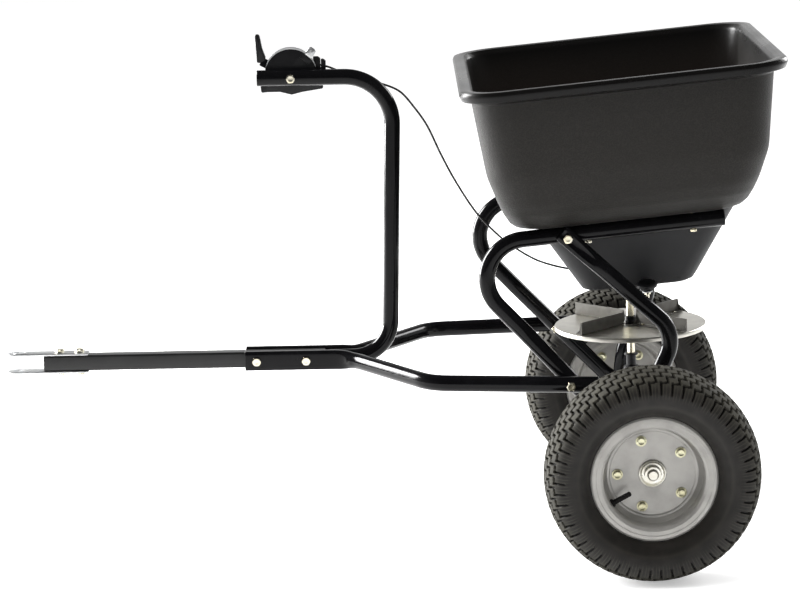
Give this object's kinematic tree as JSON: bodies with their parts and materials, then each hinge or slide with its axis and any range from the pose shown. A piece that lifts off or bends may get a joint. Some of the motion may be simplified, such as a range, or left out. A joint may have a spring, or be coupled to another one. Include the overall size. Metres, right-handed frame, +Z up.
{
  "type": "tow-behind broadcast spreader",
  "caption": "Two-wheeled garden spreader with a moulded hopper, a spinning spreading plate geared to the axle, a tow tongue and a lever that opens the flow gate by cable.",
  "frame": {"origin": "on the ground, under the middle of the machine's length and width", "axes": "+X runs rearward along the tongue from hitch to hopper, +Y runs along the axle from the drive wheel to the free wheel, +Z is up"},
  "size_m": [1.2266, 0.764, 0.8075],
  "materials": {
    "black_paint": "gloss black powder coat",
    "zinc": "bright zinc plate",
    "galvanised": "galvanised sheet",
    "hopper_plastic": "grained polyethylene",
    "black_plastic": "moulded, fine grain",
    "tyre_rubber": "turf tread rubber",
    "silver_paint": "satin silver paint",
    "steel": "bright steel",
    "nylon": "natural nylon",
    "cable_jacket": "smooth black jacket"
  },
  "bodies": {
    "chassis": {"cable_clamp": "black_plastic", "cable_guide": "galvanised", "control_arm": "black_paint", "control_cable": "cable_jacket", "control_quadrant": "black_plastic", "gate_guide": "galvanised", "hitch_bolt_front": "zinc", "hitch_bolt_rear": "zinc", "hitch_plate_bottom": "galvanised", "hitch_plate_top": "galvanised", "hitch_tongue": "black_paint", "hopper": "hopper_plastic", "hopper_base": "black_plastic", "left_axle_bush": "nylon", "left_frame_loop": "black_paint", "left_gearbox_half": "black_plastic", "left_hopper_bolt_front": "zinc", "left_hopper_bolt_rear": "zinc", "left_hopper_leg": "black_paint", "left_leg_bolt": "zinc", "left_lower_rail": "black_paint", "left_rail_bolt": "zinc", "quadrant_bolt": "zinc", "right_axle_bush": "nylon", "right_frame_loop": "black_paint", "right_gearbox_half": "black_plastic", "right_hopper_bolt_front": "zinc", "right_hopper_bolt_rear": "zinc", "right_hopper_leg": "black_paint", "right_leg_bolt": "zinc", "right_lower_rail": "black_paint", "right_rail_bolt": "zinc", "shaft_bush": "black_plastic", "tongue_bolt_front": "zinc", "tongue_bolt_rear": "zinc"},
    "drive_axle": {"axle": "zinc", "ring_gear": "steel", "drive_rim_outer": "silver_paint", "drive_rim_inner": "silver_paint", "drive_tyre": "tyre_rubber", "drive_hub": "zinc", "drive_pin": "steel", "free_wheel_pin": "steel"},
    "free_wheel": {"free_rim_outer": "silver_paint", "free_rim_inner": "silver_paint", "free_tyre": "tyre_rubber", "free_hub": "zinc"},
    "impeller": {"impeller_shaft": "zinc", "pinion": "steel", "impeller_plate": "steel", "impeller_vane_1": "steel", "impeller_vane_2": "steel", "impeller_vane_3": "steel", "impeller_vane_4": "steel", "agitator": "steel"},
    "gate": {"flow_gate": "galvanised", "gate_knob": "black_plastic"},
    "lever": {"flow_lever": "black_paint", "lever_grip": "black_plastic"},
    "stop": {"flow_stop": "galvanised"}
  },
  "joints": [
    {"name": "axle_spin", "type": "hinge", "parent": "chassis", "child": "drive_axle", "pos_m": [0.39966, 0, 0.165], "axis": [0, 1, 0], "continuous": true},
    {"name": "free_wheel_spin", "type": "hinge", "parent": "drive_axle", "child": "free_wheel", "pos_m": [0.39966, 0.318, 0.165], "axis": [0, 1, 0], "continuous": true},
    {"name": "impeller_spin", "type": "hinge", "parent": "chassis", "child": "impeller", "pos_m": [0.39516, 0, 0.165], "axis": [-0.0209, 0, 0.9998], "continuous": true},
    {"name": "lever_turn", "type": "hinge", "parent": "chassis", "child": "lever", "pos_m": [-0.14484, 0, 0.7385], "axis": [0, 1, 0], "range_deg": [0, 75]},
    {"name": "gate_slide", "type": "slide", "parent": "chassis", "child": "gate", "axis": [0.9957, 0, 0.0924], "range_m": [0, 0.02094]},
    {"name": "stop_turn", "type": "hinge", "parent": "chassis", "child": "stop", "pos_m": [-0.14484, 0, 0.7385], "axis": [0, 1, 0], "range_deg": [-10, 10]}
  ],
  "couplings": [
    {"joint": "impeller_spin", "follows": "axle_spin", "ratio": -3},
    {"joint": "gate_slide", "follows": "lever_turn", "m_per_rad": 0.016}
  ]
}
